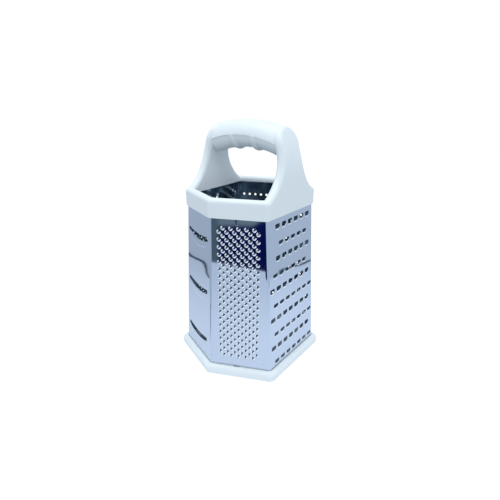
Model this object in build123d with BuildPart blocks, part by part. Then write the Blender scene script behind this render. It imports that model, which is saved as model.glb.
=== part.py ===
from build123d import *
from math import asin, degrees, hypot, radians, tan
import os

# Six-sided box grater. Millimetres, +Z up, origin on the table under the middle of the base.
# The handle runs along X, so two of the six sides face +X and -X and the other four are slanted.

# Steel body: a folded sheet that widens towards the table
steel_height = 145.0
sheet_thickness = 0.6
bend_radius = 3.5
slant_angle = 23.4
bottom_half_depth = 53.7
bottom_side_width = 80.3
top_half_depth = 45.75
top_side_width = 77.4

# Base ring under the steel
base_height = 9.0
base_lap = 5.2
base_shoulder_radius = 4.2
base_foot_radius = 1.5
base_corner_radius = 6.0
base_floor = 4.0
base_lip = 2.2

# Top ring round the steel, and the full-round rim on it
ring_side_height = 12.8
ring_lap = 1.6
rim_radius = 4.0
rim_round_share = 0.96
rim_seat_height = 11.5
ring_corner_radius = 5.0

# Handle legs that rise from the two sides facing +X and -X
leg_thickness = 8.4
leg_edge_radius = 3.9
leg_half_width = 15.0
leg_flare_radius = 45.4
leg_lean_radius = 98.0
leg_lean_start = 13.2
leg_waist_height = 38.2
leg_cap_start = 41.7

# Grip across the legs: a smooth shell above and an insert with two finger ridges below
grip_rise = 61.2
grip_bow_radius = 123.0
grip_half_width = 14.0
grip_shell_height = 13.0
grip_reach = 36.0
insert_height = 11.7
insert_step = 0.7
insert_reach = 38.5
collar_length = 1.5
ridge_spacing = 24.5
ridge_height = 1.7
ridge_radius = 3.4

# Clearances between pieces that fit together
groove_clearance = 0.12
skirt_clearance = 0.15
seat_gap = 0.2
insert_clearance = 0.15

# Snap lugs of the top ring, the windows for them in every second side, and the base ring's notches
lug_sides = (0, 2, 4)
lug_shift = -3.5
lug_width = 2.0
lug_height = 3.2
lug_reach = 1.1
window_clearance = 0.3
top_window_drop = 5.2
notch_width = 5.4
notch_depth = 1.4
notch_reach = 1.0

# Fine grating side: staggered round punches
fine_hole = 2.1
fine_column = 3.505
fine_row = 3.49
fine_rows = 37
fine_first_row = 10.8
fine_shift = -1.96
fine_holes_in_long_row = 6

# Coarse shredding side: rows of wide rounded holes
coarse_width = 7.1
coarse_tall = 4.2
coarse_low = 3.3
coarse_corner = 1.2
coarse_pitch = 10.2
coarse_row = 14.58
coarse_first_row = 6.2
coarse_shift = -2.45
coarse_low_drop = 1.06
# First and last column of each row, from the lowest row up
coarse_columns = [(-3, 3)] * 6 + [(-3, 2), (-2, 3), (-2, 2), (-2, 3)]

# Slicing side: bowed slots
slot_width = 42.0
slot_upper_sag = 2.2
slot_lower_sag = 3.1
slot_end_height = 4.0
slot_corner = 1.3
slot_pitch = 51.9
slot_shift = -1.2
slot_shift_step = 1.7
slot_first = 19.9
slot_count = 3

# Round shredding side: larger staggered round holes
round_hole = 3.2
round_pitch = 6.2
round_row = 9.1
round_top_row = 141.5
round_rows = 15
round_holes_in_long_row = 7

# Zesting side: small punches set wide apart
zest_hole = 1.5
zest_pitch = 5.6
zest_row = 4.2
zest_first_row = 10.0
zest_rows = 31
zest_holes_in_long_row = 12

# Medium shredding side: rounded holes about half as wide as the coarse ones
medium_width = 3.6
medium_height = 2.2
medium_corner = 0.7
medium_pitch = 10.5
medium_row = 10.9
medium_first_row = 19.8
medium_shift = -0.4
medium_rows = 11
medium_holes_in_long_row = 5

# Overruns that let one solid cut cleanly through another
overrun = 3.0

ring_bottom = base_height + steel_height
rim_seat = ring_bottom + rim_seat_height
ring_top = ring_bottom + ring_side_height + rim_radius
grip_top = ring_top + grip_rise
steel_head = rim_seat - seat_gap
leg_outer = top_half_depth + ring_lap
leg_lean_level = ring_top + leg_lean_start
leg_waist_level = ring_top + leg_waist_height
leg_cap_level = ring_top + leg_cap_start
leg_cap_top = leg_cap_level + leg_half_width
grip_centre = grip_top - grip_bow_radius
seam_level = grip_top - grip_shell_height
slant = tan(radians(slant_angle))


def outline(height, offset):
    """Six corners of the body at a height, every side moved outwards by offset."""
    share = (height - base_height) / steel_height
    half_depth = bottom_half_depth + share * (top_half_depth - bottom_half_depth) + offset
    half_side = (bottom_side_width + share * (top_side_width - bottom_side_width)) / 2
    half_side += offset * (hypot(1, slant) - slant)
    point = half_side + slant * half_depth
    return [
        (0, -point), (half_depth, -half_side), (half_depth, half_side),
        (0, point), (-half_depth, half_side), (-half_depth, -half_side),
    ]


def side_plane(index):
    """Outer face of one side: X along its lower edge, Y up the steel, Z outwards."""
    low = outline(base_height, 0)
    high = outline(ring_bottom, 0)
    start = Vector(*low[index], base_height)
    end = Vector(*low[(index + 1) % len(low)], base_height)
    rise = Vector(*high[index], ring_bottom) - start
    along = (end - start).normalized()
    return Plane(origin=(start + end) / 2, x_dir=along, z_dir=along.cross(rise).normalized())


def corner_plane(index):
    """Plane through one corner line that halves the bend, facing the next side."""
    corners = outline(base_height, 0)
    inner = outline(base_height, -bend_radius)
    foot = Vector(*corners[index], base_height)
    head = Vector(*outline(ring_bottom, 0)[index], ring_bottom)
    inwards = Vector(*inner[index], base_height) - foot
    return Plane(origin=foot, x_dir=inwards, z_dir=inwards.cross(head - foot).normalized())


def tapered_body(inset, radius):
    """Solid six-sided body from the base to the top ring, its sides moved inwards by inset."""
    with BuildPart() as body:
        size = 4 * bottom_half_depth
        with Locations((0, 0, base_floor)):
            Box(size, size, steel_head - base_floor, align=(Align.CENTER, Align.CENTER, Align.MIN))
        for index in range(len(outline(base_height, 0))):
            split(bisect_by=side_plane(index).offset(-inset), keep=Keep.BOTTOM)
        bends = [edge for edge in body.edges() if edge.length > steel_height]
        fillet(bends, radius)
    return body.part


def staggered(columns, rows, column_step, row_step, first_row, shift):
    """Places of a staggered pattern whose lowest row is a short one."""
    places = []
    for row in range(rows):
        count = columns - 1 if row % 2 == 0 else columns
        for column in range(count):
            places.append((shift + (column - (count - 1) / 2) * column_step, first_row + row * row_step))
    return places


def coarse_places():
    """Places and heights of the coarse holes, row by row from the lowest."""
    places = []
    for row, (first, last) in enumerate(coarse_columns):
        low = row % 2 == 0
        half_step = coarse_pitch / 2 if low else 0
        drop = coarse_low_drop if low else 0
        height = coarse_low if low else coarse_tall
        for column in range(first, last + 1):
            across = coarse_shift + column * coarse_pitch + half_step
            places.append((across, coarse_first_row + row * coarse_row - drop, height))
    return places


def hole_sketch(kind):
    """Cuts of one side, drawn on the current sketch."""
    if kind == "fine":
        spots = staggered(fine_holes_in_long_row, fine_rows, 2 * fine_column, fine_row,
                          fine_first_row, fine_shift)
        with Locations(*spots):
            Circle(fine_hole / 2)
    if kind == "coarse":
        for across, up, height in coarse_places():
            with Locations((across, up)):
                RectangleRounded(coarse_width, height, coarse_corner)
    if kind == "medium":
        spots = staggered(medium_holes_in_long_row, medium_rows, medium_pitch, medium_row,
                          medium_first_row, medium_shift)
        with Locations(*spots):
            RectangleRounded(medium_width, medium_height, medium_corner)
    if kind == "round":
        lowest = round_top_row - (round_rows - 1) * round_row
        spots = staggered(round_holes_in_long_row, round_rows, round_pitch, round_row, lowest, 0)
        with Locations(*spots):
            Circle(round_hole / 2)
    if kind == "zest":
        spots = staggered(zest_holes_in_long_row, zest_rows, zest_pitch, zest_row,
                          zest_first_row, 0)
        with Locations(*spots):
            Circle(zest_hole / 2)
    if kind == "slots":
        for number in range(slot_count):
            middle = slot_shift + number * slot_shift_step
            add(slot_outline(middle, slot_first + number * slot_pitch))


def slot_outline(middle, level):
    """Slot bowed downwards about a middle, with its ends centred on a level."""
    left = middle - slot_width / 2
    right = middle + slot_width / 2
    upper = level + slot_end_height / 2
    lower = level - slot_end_height / 2
    with BuildSketch() as slot:
        with BuildLine():
            ThreePointArc((left, upper), (middle, upper - slot_upper_sag), (right, upper))
            Line((right, upper), (right, lower))
            ThreePointArc((right, lower), (middle, lower - slot_lower_sag), (left, lower))
            Line((left, lower), (left, upper))
        make_face()
        fillet(slot.vertices(), slot_corner)
    return slot.sketch


def rounded_outline(height, offset, radius):
    """Outline of the body at a height, moved outwards by offset, with rounded corners."""
    with BuildSketch() as result:
        Polygon(*outline(height, offset), align=None)
        fillet(result.vertices(), radius)
    return result.sketch


def leg_band(growth):
    """Both legs seen from the front, as bands that stand upright and then lean inwards."""
    outer = leg_outer + growth
    inner = leg_outer - leg_thickness - growth
    centre = leg_outer - leg_lean_radius
    angle = degrees(asin((leg_cap_top + overrun - leg_lean_level) / (inner - centre)))
    with BuildSketch() as band:
        with BuildLine() as edge:
            outer_arc = CenterArc((centre, leg_lean_level), outer - centre, 0, angle)
            inner_arc = CenterArc((centre, leg_lean_level), inner - centre, 0, angle)
            Line(outer_arc @ 1, inner_arc @ 1)
            Polyline(outer_arc @ 0, (outer, rim_seat), (inner, rim_seat), inner_arc @ 0)
        make_face(edge.edges())
        mirror(about=Plane.YZ)
    return band.sketch


def bowed_angle(reach, radius):
    """Angle of the grip's bow that reaches a distance along X at a radius."""
    return degrees(asin(reach / radius))


os.makedirs("parts", exist_ok=True)

# Six steel sides, split along the middle of each bend of the folded sheet
sides = [
    ("fine_grating_panel", 0, "fine"),
    ("coarse_shredding_panel", 1, "coarse"),
    ("medium_shredding_panel", 2, "medium"),
    ("round_shredding_panel", 3, "round"),
    ("zesting_panel", 4, "zest"),
    ("slicing_panel", 5, "slots"),
]

folded_sheet = tapered_body(0, bend_radius) - tapered_body(sheet_thickness, bend_radius - sheet_thickness)

for name, index, kind in sides:
    with BuildPart() as panel:
        add(folded_sheet)
        split(bisect_by=corner_plane(index), keep=Keep.TOP)
        split(bisect_by=corner_plane((index + 1) % len(sides)), keep=Keep.BOTTOM)
        with BuildSketch(side_plane(index).offset(-overrun)):
            hole_sketch(kind)
            if index in lug_sides:
                with Locations((lug_shift, steel_height - top_window_drop)):
                    Rectangle(lug_width + 2 * window_clearance,
                              top_window_drop + lug_height + 2 * window_clearance,
                              align=(Align.CENTER, Align.MIN))
        extrude(amount=2 * overrun, mode=Mode.SUBTRACT)
    panel.part.label = name
    export_step(panel.part, "parts/" + name + ".step")
    print(name, len(panel.part.solids()), round(panel.part.volume, 1), flush=True)

# Base ring: a moulded foot with a rounded shoulder and a groove that holds the steel
with BuildPart() as base_ring:
    with BuildSketch():
        add(rounded_outline(base_height, base_lap, base_corner_radius))
    extrude(amount=base_height)
    fillet(base_ring.edges().group_by(Axis.Z)[-1], base_shoulder_radius)
    fillet(base_ring.edges().group_by(Axis.Z)[0], base_foot_radius)
    lip_offset = -sheet_thickness - groove_clearance
    with BuildSketch():
        add(rounded_outline(base_height, lip_offset - base_lip, bend_radius))
    extrude(amount=base_height, mode=Mode.SUBTRACT)
    with BuildSketch(Plane.XY.offset(base_floor)):
        add(rounded_outline(base_floor, groove_clearance, bend_radius + groove_clearance))
        add(rounded_outline(base_height, lip_offset, bend_radius + lip_offset), mode=Mode.SUBTRACT)
    extrude(amount=base_height, mode=Mode.SUBTRACT)
    for index in lug_sides:
        with BuildSketch(side_plane(index)):
            with Locations((lug_shift, 0)):
                Rectangle(notch_width, 2 * notch_depth)
        extrude(amount=notch_reach, mode=Mode.SUBTRACT)
base_ring.part.label = "base_ring"
export_step(base_ring.part, "parts/base_ring.step")

# Legs of the handle: upright bands on the +X and -X sides, narrowing to a waist and a round cap
with BuildPart() as legs:
    with BuildSketch(Plane.XZ):
        add(leg_band(0))
    extrude(amount=top_side_width, both=True)
    with BuildSketch(Plane.YZ):
        with BuildLine():
            cap = CenterArc((0, leg_cap_level), leg_half_width, 0, 90)
            flare_angle = degrees(asin(leg_waist_height / leg_flare_radius))
            flare = CenterArc((leg_half_width + leg_flare_radius, leg_waist_level), leg_flare_radius,
                              180, flare_angle)
            Line(cap @ 0, flare @ 0)
            foot = (flare @ 1).X
            Polyline(flare @ 1, (foot, rim_seat), (0, rim_seat))
            Line((0, rim_seat), cap @ 1)
        make_face()
        mirror(about=Plane.YZ)
    extrude(amount=2 * leg_outer, both=True, mode=Mode.INTERSECT)
    rims = legs.edges().filter_by(GeomType.LINE, reverse=True)
    fillet(rims, leg_edge_radius)

# Grip shell: the smooth upper half of the grip, bowed along X
with BuildPart() as grip_shell:
    with BuildSketch(Plane.YZ):
        with BuildLine():
            ThreePointArc((-grip_half_width, seam_level), (0, grip_top), (grip_half_width, seam_level))
            Line((grip_half_width, seam_level), (-grip_half_width, seam_level))
        make_face()
    bow_axis = Axis((0, 0, grip_centre), (0, 1, 0))
    revolve(axis=bow_axis, revolution_arc=bowed_angle(grip_reach, seam_level - grip_centre))
    mirror(about=Plane.YZ)
    with BuildSketch(Plane.XZ):
        with Locations((0, seam_level)):
            Rectangle(2 * grip_reach, 2 * (grip_shell_height + overrun))
    extrude(amount=grip_half_width + overrun, both=True, mode=Mode.INTERSECT)

# Lower half of the grip between the legs, and the short collars of it that belong to the legs
half_width = grip_half_width - insert_step
insert_top = seam_level - insert_clearance
insert_radius = (half_width ** 2 + insert_height ** 2) / (2 * insert_height)
insert_bottom = insert_top - insert_height
insert_core = insert_bottom + insert_radius - grip_centre

with BuildPart() as lower_grip:
    with BuildSketch(Plane.YZ):
        with BuildLine():
            ThreePointArc((-half_width, insert_top), (0, insert_bottom), (half_width, insert_top))
            Line((half_width, insert_top), (-half_width, insert_top))
        make_face()
    revolve(axis=bow_axis, revolution_arc=bowed_angle(insert_reach, insert_top - grip_centre))
    mirror(about=Plane.YZ)

with BuildPart() as grip_collars:
    add(lower_grip.part)
    with BuildSketch(Plane.XZ):
        add(leg_band(collar_length))
    extrude(amount=grip_half_width, both=True, mode=Mode.INTERSECT)

# Top frame: the ring with its round rim, the legs, the grip shell and the snap lugs, in one moulding
with BuildPart() as top_frame:
    with BuildSketch(Plane.XY.offset(ring_bottom)):
        add(rounded_outline(ring_bottom, ring_lap, ring_corner_radius))
        add(rounded_outline(ring_bottom, ring_lap - 2 * rim_radius, bend_radius), mode=Mode.SUBTRACT)
    extrude(amount=ring_side_height + rim_radius)
    fillet(top_frame.edges().group_by(Axis.Z)[-1], rim_radius * rim_round_share)
    with BuildSketch(Plane.XY.offset(ring_bottom)):
        add(rounded_outline(ring_bottom, skirt_clearance, bend_radius))
    extrude(amount=rim_seat_height, mode=Mode.SUBTRACT)
    add(legs.part)
    add(grip_shell.part)
    add(grip_collars.part)
    for index in lug_sides:
        with BuildSketch(side_plane(index).offset(ring_lap / 2)):
            with Locations((lug_shift, steel_height + window_clearance)):
                Rectangle(lug_width, lug_height, align=(Align.CENTER, Align.MIN))
        extrude(amount=-(ring_lap / 2 + sheet_thickness + lug_reach))
top_frame.part.label = "top_frame"
export_step(top_frame.part, "parts/top_frame.step")

# Grip insert: the lower half of the grip, with two finger ridges, set between the collars
with BuildPart() as grip_insert:
    add(lower_grip.part)
    for turn in (-1, 1):
        lean = Location((0, 0, grip_centre), (0, turn * bowed_angle(ridge_spacing / 2, insert_core), 0))
        with Locations(lean * Location((0, 0, insert_core), (0, 90, 0))):
            Torus(insert_radius + ridge_height - ridge_radius, ridge_radius)
    with BuildSketch(Plane.XZ):
        with Locations((0, grip_centre)):
            Circle(insert_top - grip_centre)
        add(leg_band(collar_length + insert_clearance), mode=Mode.SUBTRACT)
    extrude(amount=grip_half_width + ridge_height, both=True, mode=Mode.INTERSECT)
grip_insert.part.label = "grip_insert"
export_step(grip_insert.part, "parts/grip_insert.step")

for piece in (base_ring, top_frame, grip_insert):
    print(piece.part.label, len(piece.part.solids()), round(piece.part.volume, 1), flush=True)
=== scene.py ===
import math

import bpy
from mathutils import Matrix, Vector


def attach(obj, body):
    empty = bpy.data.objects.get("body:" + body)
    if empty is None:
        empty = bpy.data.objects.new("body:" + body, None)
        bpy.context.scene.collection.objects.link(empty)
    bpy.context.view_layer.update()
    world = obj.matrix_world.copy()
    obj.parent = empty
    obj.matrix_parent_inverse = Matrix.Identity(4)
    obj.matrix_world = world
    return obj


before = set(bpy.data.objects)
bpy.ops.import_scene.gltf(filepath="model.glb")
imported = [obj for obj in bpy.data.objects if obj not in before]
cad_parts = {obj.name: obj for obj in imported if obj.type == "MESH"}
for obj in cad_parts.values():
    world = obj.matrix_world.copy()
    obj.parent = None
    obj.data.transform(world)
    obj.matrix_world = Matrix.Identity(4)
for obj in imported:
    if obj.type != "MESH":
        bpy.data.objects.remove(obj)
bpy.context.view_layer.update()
bpy.ops.object.select_all(action="DESELECT")

# Polished stainless sheet of the six sides. The real body is one strip of thin steel, punched flat,
# folded into six sides and seamed. It has a faint vertical grain from rolling and smudges from
# handling. Its inner face isn't polished, so it is rougher; there its colour is painted darker as
# painted shade, with pale wavy streaks of painted reflection.
steel_sides = (
    "fine_grating_panel", "coarse_shredding_panel", "medium_shredding_panel",
    "round_shredding_panel", "zesting_panel", "slicing_panel",
)
steel_light = (0.66, 0.73, 0.83, 1)
steel_dark = (0.60, 0.68, 0.78, 1)
steel_roughness = 0.02
smudge_scale = 14
smudge_roughness = 0.035
grain_scale = 2600
grain_stretch = (1, 1, 0.02)
grain_roughness = 0.02
grain_depth = 0.0000015
sheet_wave_scale = 30
sheet_wave_depth = 0.00003
inner_steel_painted_shade = (0.30, 0.38, 0.44, 1)
inner_painted_reflection_streak = (0.66, 0.76, 0.84, 1)
inner_roughness = 0.06
streak_scale = 70
streak_stretch = (1, 1, 0.6)
streak_range = (0.42, 0.66)
outer_range = (-0.01, 0.01)


class Socket:
    """A shader output that can be used in sums like a number."""

    def __init__(self, finish, socket):
        self.finish = finish
        self.socket = socket

    def combine(self, operation, first, second=0.0):
        """A Math node on numbers or shader outputs."""
        made = self.finish.node("ShaderNodeMath", {"operation": operation}, {0: first, 1: second})
        return Socket(self.finish, made.outputs[0])

    def __add__(self, other):
        return self.combine("ADD", self, other)

    def __radd__(self, other):
        return self.combine("ADD", other, self)

    def __sub__(self, other):
        return self.combine("SUBTRACT", self, other)

    def __rsub__(self, other):
        return self.combine("SUBTRACT", other, self)

    def __mul__(self, other):
        return self.combine("MULTIPLY", self, other)

    def __rmul__(self, other):
        return self.combine("MULTIPLY", other, self)

    def __truediv__(self, other):
        return self.combine("DIVIDE", self, other)


class Finish:
    """A shader tree being wired, with its texture coordinates."""

    def __init__(self, tree, place="Object"):
        self.tree = tree
        self.place = self.node("ShaderNodeTexCoord").outputs[place]

    def node(self, kind, settings=None, inputs=None):
        """A new node, with its settings made first and its sockets then given values or links."""
        made = self.tree.nodes.new(kind)
        for name, value in (settings or {}).items():
            setattr(made, name, value)
        for name, value in (inputs or {}).items():
            self.feed(made.inputs[name], value)
        return made

    def feed(self, target, value):
        """Links an output to a socket, or sets the socket where the value is plain."""
        if isinstance(value, Socket):
            value = value.socket
        if isinstance(value, bpy.types.NodeSocket):
            self.tree.links.new(value, target)
        else:
            target.default_value = value

    def noise(self, scale, stretch=(1, 1, 1), detail=2.0):
        """Noise over the object, its cells per metre multiplied by stretch along each axis."""
        placed = self.node("ShaderNodeMapping", None, {"Vector": self.place, "Scale": stretch})
        made = self.node("ShaderNodeTexNoise", None,
                         {"Vector": placed.outputs[0], "Scale": scale, "Detail": detail})
        return Socket(self, made.outputs["Fac"])

    def fade(self, value, start, end):
        """0 up to start and 1 from end, smooth between them."""
        made = self.node("ShaderNodeMapRange", {"interpolation_type": "SMOOTHSTEP"},
                         {"Value": value, "From Min": start, "From Max": end})
        return Socket(self, made.outputs[0])

    def towards(self, direction):
        """How nearly the texture coordinates point in a direction, 1 where they point along it."""
        unit = self.node("ShaderNodeVectorMath", {"operation": "NORMALIZE"}, {0: self.place})
        return self.reach(direction, unit.outputs[0])

    def reach(self, direction, place=None):
        """How far the texture coordinates, or another vector, reach along a direction."""
        made = self.node("ShaderNodeVectorMath", {"operation": "DOT_PRODUCT"},
                         {0: self.place if place is None else place, 1: direction})
        return Socket(self, made.outputs["Value"])

    def blend(self, share, first, second):
        """Colour between two colours, on the Mix node's sockets for its share and its two colours."""
        made = self.node("ShaderNodeMix", {"data_type": "RGBA"}, {0: share, 6: first, 7: second})
        return made.outputs[2]

    def relief(self, height, depth, under=None):
        """Bump of a height from 0 to 1, depth metres deep, over another bump."""
        inputs = {"Height": height, "Distance": depth}
        if under is not None:
            inputs["Normal"] = under
        return self.node("ShaderNodeBump", None, inputs).outputs[0]


def new_material(name):
    """A material with a Principled shader, and the finish that wires it."""
    material = bpy.data.materials.new(name)
    material.use_nodes = True
    return material, material.node_tree.nodes["Principled BSDF"], Finish(material.node_tree)


steel, shader, finish = new_material("polished_steel")
smudges = finish.noise(smudge_scale)
grain = finish.noise(grain_scale, grain_stretch)
waves = finish.noise(sheet_wave_scale, detail=0.5)
# The outer face is where the normal points away from the grater's upright axis
from_axis = finish.node("ShaderNodeVectorMath", {"operation": "MULTIPLY"}, {0: finish.place, 1: (1, 1, 0)})
facing = finish.node("ShaderNodeTexCoord").outputs["Normal"]
outer = finish.fade(finish.reach(facing, from_axis.outputs[0]), *outer_range)
polished = finish.blend(smudges, steel_dark, steel_light)
# Inner face: colour painted darker as painted shade, with pale streaks as painted reflection
painted_reflection_streaks = finish.fade(finish.noise(streak_scale, streak_stretch), *streak_range)
inner_painted_shade_and_reflection = finish.blend(painted_reflection_streaks, inner_steel_painted_shade, inner_painted_reflection_streak)
roughness = steel_roughness + smudge_roughness * smudges + grain_roughness * grain
finish.feed(shader.inputs["Base Color"], finish.blend(outer, inner_painted_shade_and_reflection, polished))
finish.feed(shader.inputs["Roughness"], roughness + inner_roughness * (1 - outer))
shader.inputs["Metallic"].default_value = 1
wavy = finish.relief(waves, sheet_wave_depth)
finish.feed(shader.inputs["Normal"], finish.relief(grain, grain_depth, wavy))

for name in steel_sides:
    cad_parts[name].material_slots[0].material = steel

# Raised punches of the fine side. Each hole is pierced outwards from inside, so its edge stands up as
# a small burst cone round the opening. They belong to the sheet, and their steel is painted paler than
# the sheet's, as a painted highlight.
base_height = 0.009
steel_height = 0.145
bottom_half_depth = 0.0537
top_half_depth = 0.04575
bottom_side_width = 0.0803
top_side_width = 0.0774
slant_angle = 23.4
slant = math.tan(math.radians(slant_angle))

fine_punch_foot = 0.00198
fine_punch_height = 0.0006
fine_punch_mouth = 0.00074
fine_punch_corners = 14
fine_columns = 6
fine_rows = 37
fine_pitch = 0.00701
fine_row = 0.00349
fine_first_row = 0.0108
fine_shift = -0.00196

painted_highlight_pale = (0.96, 0.98, 1.0, 1)
painted_highlight_dim = (0.86, 0.90, 0.96, 1)
burst_roughness = 0.05
scuff_scale = 900
scuff_roughness = 0.05
scuff_depth = 0.000004


def side_frame(index):
    """Place of one side: X along its lower edge, Y up the steel and Z outwards, from the middle."""
    rings = []
    for half_depth, side_width, height in (
            (bottom_half_depth, bottom_side_width, base_height),
            (top_half_depth, top_side_width, base_height + steel_height)):
        half_side = side_width / 2
        point = half_side + slant * half_depth
        rings.append([Vector((x, y, height)) for x, y in (
            (0, -point), (half_depth, -half_side), (half_depth, half_side),
            (0, point), (-half_depth, half_side), (-half_depth, -half_side))])
    low, high = rings
    start, end = low[index], low[(index + 1) % 6]
    along = (end - start).normalized()
    out = along.cross(high[index] - start).normalized()
    up = out.cross(along)
    turn = Matrix((along, up, out)).transposed().to_4x4()
    return Matrix.Translation((start + end) / 2) @ turn


def punch(foot, height, mouth, corners):
    """One burst cone round a hole, standing on the XY plane, as a thin ring of sheet sunk a little."""
    sunk = -0.08
    # From the foot over the rim and down inside the hole: share of the way out, and share of the height
    ring_shares = ((0.9, 0.06), (0.7, 0.3), (0.45, 0.6), (0.2, 0.88), (0.08, 1), (0, 0.9), (0.03, sunk))
    bpy.ops.mesh.primitive_circle_add(vertices=corners, radius=foot, location=(0, 0, sunk * height))
    made = bpy.context.object
    bpy.ops.object.mode_set(mode="EDIT")
    bpy.ops.mesh.select_all(action="SELECT")
    radius, level = foot, sunk
    for share, rise in ring_shares:
        wide = mouth + share * (foot - mouth)
        bpy.ops.mesh.extrude_region_move(
            TRANSFORM_OT_translate={"value": (0, 0, height * (rise - level))})
        bpy.ops.transform.resize(value=(wide / radius, wide / radius, 1), center_override=(0, 0, 0))
        radius, level = wide, rise
    bpy.ops.mesh.select_all(action="SELECT")
    bpy.ops.mesh.normals_make_consistent(inside=False)
    bpy.ops.object.mode_set(mode="OBJECT")
    bpy.ops.object.shade_smooth()
    return made


def staggered(columns, rows, pitch, row_step, first_row, shift=0.0):
    """Places of a staggered pattern whose lowest row is a short one."""
    spots = []
    for row in range(rows):
        count = columns - 1 if row % 2 == 0 else columns
        for column in range(count):
            spots.append((shift + (column - (count - 1) / 2) * pitch, first_row + row * row_step))
    return spots


def copies(pattern, side, spots, name):
    """One piece made of copies of a pattern, each with a mesh of its own, at places on a side."""
    made = []
    for across, up in spots:
        copy = pattern.copy()
        copy.data = pattern.data.copy()
        copy.data.transform(side @ Matrix.Translation((across, up, 0)))
        bpy.context.collection.objects.link(copy)
        made.append(copy)
    bpy.data.objects.remove(pattern)
    bpy.ops.object.select_all(action="DESELECT")
    for copy in made:
        copy.matrix_world = Matrix()
        copy.select_set(True)
    bpy.context.view_layer.objects.active = made[0]
    bpy.ops.object.join()
    made[0].name = name
    bpy.ops.object.select_all(action="DESELECT")
    return made[0]


def finish_piece(piece, material):
    """Gives a new piece its material and says where it belongs."""
    piece.data.materials.clear()
    piece.data.materials.append(material)
    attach(piece, "root")


# Paler steel of the punches and lips: its paleness is a painted highlight, and its scuffs are real
painted_highlight_steel, shader, finish = new_material("painted_highlight_steel")
scuffs = finish.noise(scuff_scale)
finish.feed(shader.inputs["Base Color"], finish.blend(scuffs, painted_highlight_dim, painted_highlight_pale))
finish.feed(shader.inputs["Roughness"], burst_roughness + scuff_roughness * scuffs)
shader.inputs["Metallic"].default_value = 1
finish.feed(shader.inputs["Normal"], finish.relief(scuffs, scuff_depth))

front = side_frame(0)
fine_punches = copies(
    punch(fine_punch_foot, fine_punch_height, fine_punch_mouth, fine_punch_corners), front,
    staggered(fine_columns, fine_rows, fine_pitch, fine_row, fine_first_row, fine_shift), "fine_punches")
finish_piece(fine_punches, painted_highlight_steel)

# Two small dimples near the lower corners of the fine side. They are marks pressed outwards into the
# same steel sheet, a quarter of a millimetre high.
dimple_foot = 0.0011
dimple_height = 0.00025
dimple_mouth = 0.00001
dimple_corners = 14
dimple_spots = ((-0.0280, 0.0081), (0.0221, 0.0058))

dimples = copies(
    punch(dimple_foot, dimple_height, dimple_mouth, dimple_corners), front, dimple_spots, "corner_dimples")
finish_piece(dimples, steel)

# Raised punches of the round side and of the zesting side, at the back of the grater. They are burst
# outwards from the same sheet, larger on the round side and sharper on the zesting side.
round_punch_foot = 0.0024
round_punch_height = 0.0007
round_punch_mouth = 0.0012
round_punch_corners = 16
round_columns = 7
round_rows = 15
round_pitch = 0.0062
round_row = 0.0091
round_first_row = 0.0141

round_punches = copies(
    punch(round_punch_foot, round_punch_height, round_punch_mouth, round_punch_corners), side_frame(3),
    staggered(round_columns, round_rows, round_pitch, round_row, round_first_row), "round_punches")
finish_piece(round_punches, painted_highlight_steel)

zest_punch_foot = 0.0014
zest_punch_height = 0.0003
zest_punch_mouth = 0.00085
zest_punch_corners = 10
zest_columns = 12
zest_rows = 31
zest_pitch = 0.0056
zest_row = 0.0042
zest_first_row = 0.010

zest_punches = copies(
    punch(zest_punch_foot, zest_punch_height, zest_punch_mouth, zest_punch_corners), side_frame(4),
    staggered(zest_columns, zest_rows, zest_pitch, zest_row, zest_first_row), "zest_punches")
finish_piece(zest_punches, painted_highlight_steel)

# Blades of the slicing side. Under each slot the sheet is pressed outwards as a shallow step that
# fades away at its ends, and the slot's lower edge is ground to a blade on it. They are part of the
# sheet.
slot_spots = ((-0.0012, 0.0199), (0.0005, 0.0718), (0.0022, 0.1237))
slot_half_width = 0.0208
slot_end = 0.0020
slot_sag = 0.0031
blade_drop = 0.0072
blade_lift = 0.00035
blade_wall_share = 0.22
blade_grid = (36, 16)
pressed_thickness = 0.0004
pressed_sink = 0.00005
crease_angle = 50


def scoop(half_width, edge, drop, lift, wall_share, grid):
    """Sheet pressed outwards under a hole, its free upper edge at edge(across), from across -1 to 1."""
    end_share = 0.25
    bpy.ops.mesh.primitive_grid_add(x_subdivisions=grid[0], y_subdivisions=grid[1], size=2)
    made = bpy.context.object
    for vertex in made.data.vertices:
        across, down = vertex.co.x, (1 - vertex.co.y) / 2
        full = end_share + (1 - end_share) * math.sqrt(1 - across ** 2)
        border = min((1 - down) / wall_share, (1 - abs(across)) / wall_share, 1)
        rise = border ** 2 * (3 - 2 * border)
        vertex.co = (across * half_width, edge(across) - down * full * drop, lift * rise - pressed_sink)
    solid = made.modifiers.new("sheet", "SOLIDIFY")
    solid.thickness = pressed_thickness
    solid.offset = -1
    bpy.ops.object.modifier_apply(modifier="sheet")
    bpy.ops.object.shade_smooth_by_angle(angle=math.radians(crease_angle))
    return made


slicer_blades = copies(
    scoop(slot_half_width, lambda across: -slot_end - slot_sag * (1 - across ** 2),
          blade_drop, blade_lift, blade_wall_share, blade_grid),
    side_frame(5), slot_spots, "slicer_blades")
finish_piece(slicer_blades, steel)

# Lips of the coarse and medium shredding sides. The lower edge of each hole is pressed outwards into
# a small cutting lip. They are part of the sheet.
lip_gap = 0.00002
lip_wall_share = 0.6
lip_grid = (8, 4)
coarse_pitch = 0.0102
coarse_row = 0.01458
coarse_first_row = 0.0062
coarse_shift = -0.00245
coarse_drop = 0.00106
coarse_even_half_height = 0.00165
coarse_odd_half_height = 0.0021
coarse_lip_half_width = 0.0031
coarse_lip_drop = 0.0016
coarse_lip_lift = 0.0004
# First and last column of holes in each row, from the lowest row up
coarse_columns = [(-3, 3)] * 6 + [(-3, 2), (-2, 3), (-2, 2), (-2, 3)]

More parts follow.
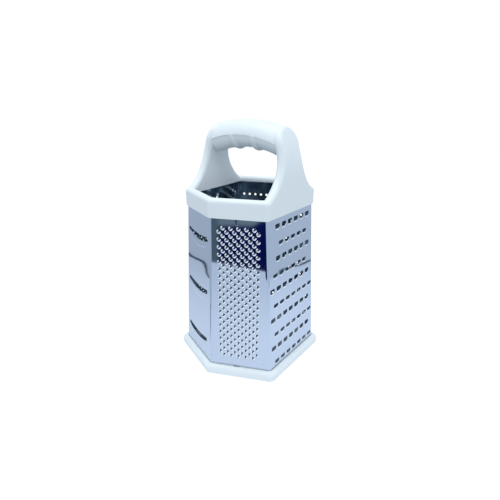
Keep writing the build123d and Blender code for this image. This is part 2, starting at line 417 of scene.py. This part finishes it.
coarse_spots = []
for row, (first, last) in enumerate(coarse_columns):
    even = row % 2 == 0
    shift = coarse_shift + (coarse_pitch / 2 if even else 0)
    up = coarse_first_row + row * coarse_row - (coarse_drop if even else 0)
    half_height = coarse_even_half_height if even else coarse_odd_half_height
    for column in range(first, last + 1):
        coarse_spots.append((shift + column * coarse_pitch, up - half_height))
# The lips take the same paler steel, a painted highlight
coarse_lips = copies(
    scoop(coarse_lip_half_width, lambda across: -lip_gap,
          coarse_lip_drop, coarse_lip_lift, lip_wall_share, lip_grid),
    side_frame(1), coarse_spots, "coarse_lips")
finish_piece(coarse_lips, painted_highlight_steel)

medium_columns = 5
medium_rows = 11
medium_pitch = 0.0105
medium_row = 0.0109
medium_first_row = 0.0198
medium_shift = -0.0004
medium_half_height = 0.0011
medium_lip_half_width = 0.0016
medium_lip_drop = 0.0011
medium_lip_lift = 0.0003

# These lips take the paler steel too, a painted highlight
medium_lips = copies(
    scoop(medium_lip_half_width, lambda across: -lip_gap,
          medium_lip_drop, medium_lip_lift, lip_wall_share, lip_grid),
    side_frame(2),
    staggered(medium_columns, medium_rows, medium_pitch, medium_row,
              medium_first_row - medium_half_height, medium_shift), "medium_lips")
finish_piece(medium_lips, painted_highlight_steel)

# White plastic of the base ring, the top frame and the grip insert, moulded in glossy, cool white
# polypropylene with a very faint mould grain. The base ring holds the foot of the steel in a groove, and
# the lugs of the frame snap into the top of the steel.
plastic_pieces = ("base_ring", "top_frame", "grip_insert")
plastic_white = (0.835, 0.90, 0.955, 1)
plastic_pale = (0.865, 0.93, 0.975, 1)
plastic_roughness = 0.34
plastic_gloss = 0.2
plastic_gloss_roughness = 0.15
mottle_scale = 22
mottle_roughness = 0.08
mould_grain_scale = 1500
mould_grain_depth = 0.000008

plastic, shader, finish = new_material("white_plastic")
mottle = finish.noise(mottle_scale)
mould_grain = finish.noise(mould_grain_scale, detail=1.0)
finish.feed(shader.inputs["Base Color"], finish.blend(mottle, plastic_white, plastic_pale))
finish.feed(shader.inputs["Roughness"], plastic_roughness + mottle_roughness * mottle)
shader.inputs["Coat Weight"].default_value = plastic_gloss
shader.inputs["Coat Roughness"].default_value = plastic_gloss_roughness
finish.feed(shader.inputs["Normal"], finish.relief(mould_grain, mould_grain_depth))

for name in plastic_pieces:
    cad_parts[name].material_slots[0].material = plastic

# Floor. The camera sees white sheet with the grater's soft shadow, painted darker under the grater as
# painted shade, where it shows through the holes. The polished steel mirrors a painted reflection on
# the floor: a white board, the thin dark line at its edge, the pale room past it and a dark part of the room
# in front.
floor_reach = 6.0
floor_roughness = 0.9
seen_tone = (0.78, 0.72, 0.68, 1)
seen_painted_shade_inside = (0.36, 0.42, 0.49, 1)
seen_glow = 0.47
lit_tone = (0.48, 0.51, 0.52, 1)
lit_glow_tone = (0.92, 1.0, 1.08, 1)
far_glow = 0.05
near_glow = 0.31
near_glow_range = (0.09, 0.20)
inside_glow_share = 0.3
black = (0, 0, 0, 1)
white = (1, 1, 1, 1)

near_tone = (0.80, 0.89, 1.04, 1)
far_tone = (0.62, 0.71, 0.84, 1)
board_range = (0.10, 0.33)
shadow_azimuth = -35.0
shadow_width = (0.955, 0.99)
shadow_range = (0.08, 0.15)
shadow_tone = (0.30, 0.37, 0.46, 1)
line_width = 0.004
line_tone = (0.02, 0.04, 0.08, 1)
room_tone = (0.53, 0.61, 0.72, 1)
dark_azimuth = 20.0
dark_width = (0.828, 0.870)
dark_from_azimuth = 5.5
dark_blur = 0.02
dark_tone = (0.002, 0.006, 0.068, 1)
band_from_azimuth = -6.0
band_blur = 0.05
band_tone = (0.085, 0.13, 0.165, 1)
patch_azimuth = -60.46
patch_side_range = (0.172, 0.182)
patch_range = (0.61, 0.66)
patch_tone = (0.165, 0.214, 0.26, 1)
inside_painted_shade = (0.05, 0.08, 0.12, 1)
outside_range = (0.98, 1.03)
left_range = (-0.30, 0.15)
left_painted_shade = 0.15
edge_blur = 0.002
edge_joint = 0.01
board_corner = -0.02

bpy.ops.mesh.primitive_plane_add(size=2 * floor_reach, location=(0, 0, 0))
floor = bpy.context.object
floor.name = "floor"
floor_material, seen, finish = new_material("white_floor")


def direction(azimuth, elevation=0.0):
    """Unit vector from the grater, its azimuth counted anticlockwise from the front."""
    turned, raised = math.radians(azimuth), math.radians(elevation)
    return (math.sin(turned) * math.cos(raised), -math.cos(turned) * math.cos(raised), math.sin(raised))


def past_azimuth(azimuth, blur):
    """0 clockwise of an azimuth and 1 anticlockwise of it, seen from above."""
    return finish.fade(finish.towards(direction(azimuth + 90)), 0, blur)


def board_edge(azimuth, distance, first, last, bend_in=0.0, bend_in_range=(0.0, 1.0),
               width_at_bend=line_width, bend_out=0.0, bend_out_range=(0.0, 1.0)):
    """Shares past one edge of the board and past its dark line, from first to last along X.

    The sides of the grater aren't quite flat, so the mirrored edge bends in at its front end, where its
    line has a width of its own, and out at its back end; these bends are painted into the reflection.
    A width below 0 hides the line.
    """
    back = finish.reach(direction(azimuth + math.copysign(90, azimuth)))
    straight = finish.fade(back, *bend_in_range)
    width = width_at_bend + (line_width - width_at_bend) * straight
    edge = finish.reach(direction(azimuth)) + bend_in * (1 - straight)
    edge = edge - bend_out * finish.fade(back, *bend_out_range)
    across = finish.reach((1, 0, 0))
    here = finish.fade(across, first, first + edge_joint) * (1 - finish.fade(across, last - edge_joint, last))
    return (here * finish.fade(edge, distance - edge_blur, distance),
            here * finish.fade(edge - width, distance, distance + edge_blur))


# Inside the six sides the floor is painted darker, as painted shade: two of them face along X, and four are
# slanted
slanted_distance = (bottom_side_width / 2 + slant * bottom_half_depth) * math.cos(math.radians(slant_angle))
share = 0.0
for azimuth, distance in (
        (90, bottom_half_depth), (180 - slant_angle, slanted_distance), (slant_angle, slanted_distance)):
    side = finish.reach(direction(azimuth)) / distance
    side = side.combine("ABSOLUTE", side)
    share = side.combine("MAXIMUM", side, share)
outside = finish.fade(share, *outside_range)

away = finish.node("ShaderNodeVectorMath", {"operation": "LENGTH"}, {0: finish.place})
away = Socket(finish, away.outputs["Value"])
# Under the grater the floor the camera sees is painted darker and has no glow, as painted shade
finish.feed(seen.inputs["Base Color"], finish.blend(outside, seen_painted_shade_inside, seen_tone))
seen.inputs["Roughness"].default_value = floor_roughness
seen.inputs["Emission Strength"].default_value = seen_glow
finish.feed(seen.inputs["Emission Color"], finish.blend(outside, black, white))
# For rays that light the grater the floor glows near it and less under it: painted light standing for a
# bright table
glow = near_glow + (far_glow - near_glow) * finish.fade(away, *near_glow_range)
glow = glow * (inside_glow_share + (1 - inside_glow_share) * outside)
lit = finish.node("ShaderNodeBsdfPrincipled", None,
                  {"Base Color": lit_tone, "Roughness": floor_roughness, "Emission Strength": 1.0,
                   "Emission Color": finish.blend(glow, black, lit_glow_tone)})

# Painted reflection: edges of the white board and their dark lines, as the steel mirrors them
edges = (
    board_edge(-36.38, 0.2190, -floor_reach, board_corner, bend_in=0.031, bend_in_range=(0.136, 0.208),
               width_at_bend=0.0005, bend_out=0.005, bend_out_range=(0.230, 0.260)),
    board_edge(117.4, 0.2800, 0, floor_reach, bend_in=0.021, bend_in_range=(0.066, 0.102),
               width_at_bend=-0.003, bend_out=0.008, bend_out_range=(0.132, 0.160)),
    board_edge(36.17, 0.3276, board_corner, floor_reach),
)
past_board = finish.fade(edges[0][0] + edges[1][0] + edges[2][0], 0, 1)
past_line = finish.fade(edges[0][1] + edges[1][1] + edges[2][1], 0, 1)

board = finish.blend(finish.fade(away, *board_range), near_tone, far_tone)
# A painted shadow streak of the grater lying on the mirrored board
shadow = finish.fade(finish.towards(direction(shadow_azimuth)), *shadow_width)
board = finish.blend(shadow * finish.fade(away, *shadow_range), board, shadow_tone)
room = finish.blend(past_line, line_tone, room_tone)
patch = finish.fade(finish.reach(direction(patch_azimuth)), *patch_side_range)
dark_part = finish.blend(patch * finish.fade(away, *patch_range), dark_tone, patch_tone)
in_front = finish.fade(finish.towards(direction(dark_azimuth)), *dark_width)
room = finish.blend(in_front * past_azimuth(band_from_azimuth, band_blur), room, band_tone)
room = finish.blend(in_front * past_azimuth(dark_from_azimuth, dark_blur), room, dark_part)
tone = finish.blend(past_board, board, room)
# Under the grater the mirrored floor is painted dark, as painted shade
tone = finish.blend(outside, inside_painted_shade, tone)
# The mirrored floor is painted a little darker towards the left, as painted shade
left = 1 - finish.fade(finish.reach((1, 0, 0)), *left_range)
tone = finish.blend(left_painted_shade * left, tone, black)
# The floor as glossy rays see it, all painted reflection
mirrored = finish.node("ShaderNodeEmission", None, {"Color": tone})

rays = finish.node("ShaderNodeLightPath")
glossy = finish.node("ShaderNodeMixShader", None, {0: rays.outputs["Is Glossy Ray"],
                                                   1: lit.outputs[0], 2: mirrored.outputs[0]})
shown = finish.node("ShaderNodeMixShader", None, {0: rays.outputs["Is Camera Ray"],
                                                  1: glossy.outputs[0], 2: seen.outputs[0]})
finish.feed(floor_material.node_tree.nodes["Material Output"].inputs["Surface"], shown.outputs[0])
floor.data.materials.append(floor_material)

# Light: an even pale room, a large soft lamp overhead and a weaker one on the camera's side. For glossy
# rays the world is a painted reflection of a paler room with a dark part in front, and the camera sees plain
# white.
room_light = (0.67, 0.74, 0.79, 1)
mirrored_room = (0.80, 0.88, 0.98, 1)
mirrored_dark = (0.02, 0.03, 0.05, 1)
mirrored_dark_azimuth = 40.0
mirrored_dark_elevation = 30.0
mirrored_dark_width = (0.69, 0.75)
lamp_tone = (1.0, 0.98, 0.95)
lamp_aim = (0, 0, 0.12)

world = bpy.data.worlds.new("studio")
bpy.context.scene.world = world
world.use_nodes = True
sky = Finish(world.node_tree, "Generated")
# The dark part in front and the paler room are painted reflection, seen only by glossy rays
dark = sky.fade(sky.towards(direction(mirrored_dark_azimuth, mirrored_dark_elevation)), *mirrored_dark_width)
ambient = sky.node("ShaderNodeBackground", None, {"Color": room_light})
mirrored = sky.node("ShaderNodeBackground", None, {"Color": sky.blend(dark, mirrored_room, mirrored_dark)})
plain = sky.node("ShaderNodeBackground", None, {"Color": white})
rays = sky.node("ShaderNodeLightPath")
glossy = sky.node("ShaderNodeMixShader", None, {0: rays.outputs["Is Glossy Ray"],
                                                1: ambient.outputs[0], 2: mirrored.outputs[0]})
shown = sky.node("ShaderNodeMixShader", None, {0: rays.outputs["Is Camera Ray"],
                                               1: glossy.outputs[0], 2: plain.outputs[0]})
sky.feed(world.node_tree.nodes["World Output"].inputs["Surface"], shown.outputs[0])

for name, place, size, energy in (
        ("overhead_softbox", (-0.15, -0.25, 1.4), 1.2, 5.4),
        ("side_softbox", (0.75, -0.40, 1.2), 0.5, 3.0)):
    bpy.ops.object.light_add(type="AREA", location=place)
    lamp = bpy.context.object
    lamp.name = name
    lamp.data.size = size
    lamp.data.energy = energy
    lamp.data.color = lamp_tone
    lamp.rotation_euler = (Vector(lamp_aim) - lamp.location).to_track_quat("-Z", "Y").to_euler()

# Camera at the photograph's place, in front, to the right and above the handle. Its angles are in
# degrees, and its focal length is in pixels of the photograph.
camera_place = (0.2291, -0.3091, 0.2543)
camera_azimuth = 36.586
camera_elevation = 21.041
camera_roll = 0.203
picture_side = 500
focal_length_in_pixels = 411.55
sensor_width = 36
nearest_shown = 0.01

camera_data = bpy.data.cameras.new("camera")
camera_data.sensor_width = sensor_width
camera_data.lens = sensor_width * focal_length_in_pixels / picture_side
camera_data.clip_start = nearest_shown
camera = bpy.data.objects.new("camera", camera_data)
bpy.context.collection.objects.link(camera)
turn = Matrix.Rotation(math.radians(camera_azimuth), 4, "Z")
tilt = Matrix.Rotation(math.radians(90 - camera_elevation), 4, "X")
roll = Matrix.Rotation(math.radians(camera_roll), 4, "Z")
camera.matrix_world = Matrix.Translation(camera_place) @ turn @ tilt @ roll
bpy.context.scene.camera = camera
bpy.context.scene.view_settings.view_transform = "Standard"
